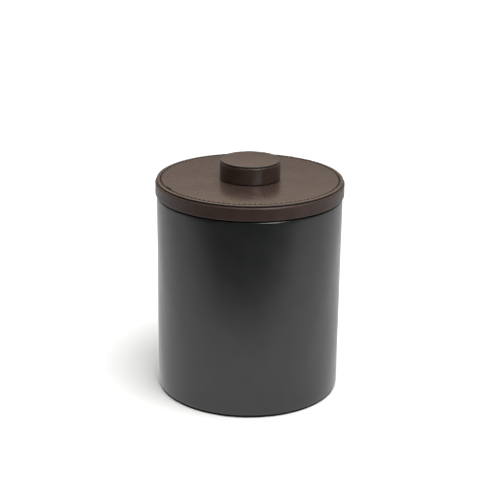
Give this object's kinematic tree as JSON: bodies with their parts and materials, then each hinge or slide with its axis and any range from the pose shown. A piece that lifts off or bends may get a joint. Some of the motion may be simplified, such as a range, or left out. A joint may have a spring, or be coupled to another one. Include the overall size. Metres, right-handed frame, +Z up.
{
  "type": "ice bucket",
  "caption": "Cylindrical insulated ice bucket covered in black leather, with a lift-out steel liner and a stitched brown leather lid lifted by a round knob.",
  "frame": {"origin": "centre of the foot pad's underside, where the bucket stands", "axes": "+Z up along the bucket's axis, from the base to the knob; the bucket is round, so X and Y are free"},
  "size_m": [0.19, 0.19, 0.2408],
  "materials": {
    "black_leather": "satin",
    "brown_leather": "satin",
    "suede": "matte",
    "card": "matte",
    "fibreboard": "matte",
    "beech": "matte",
    "foam": "matte",
    "black_plastic": "satin",
    "silicone": "matte",
    "steel": "satin",
    "brass": "satin"
  },
  "bodies": {
    "bucket": {"base_pad": "suede", "base_card": "card", "base_board": "fibreboard", "body_core": "fibreboard", "body_wrap": "black_leather", "insulation_floor": "foam", "insulation_sleeve": "foam", "inner_shell": "black_plastic"},
    "liner": {"liner_cup": "steel"},
    "lid": {"lid_band": "brown_leather", "lid_core": "fibreboard", "lid_card": "card", "lid_top_disc": "brown_leather", "lid_lining": "suede", "plug_shell": "black_plastic", "plug_insulation": "foam", "plug_seal": "silicone", "plug_screw_1": "steel", "plug_screw_2": "steel", "plug_screw_3": "steel", "plug_screw_4": "steel", "knob_band": "brown_leather", "knob_core": "beech", "knob_lower_card": "card", "knob_upper_card": "card", "knob_top_disc": "brown_leather", "knob_insert": "brass", "knob_washer": "steel", "knob_screw": "steel"}
  },
  "joints": [
    {"name": "liner_lift", "type": "slide", "parent": "bucket", "child": "liner", "axis": [0, 0, 1], "range_m": [0, 0.2]},
    {"name": "lid_lift", "type": "slide", "parent": "liner", "child": "lid", "axis": [0, 0, 1], "range_m": [0, 0.12]}
  ]
}
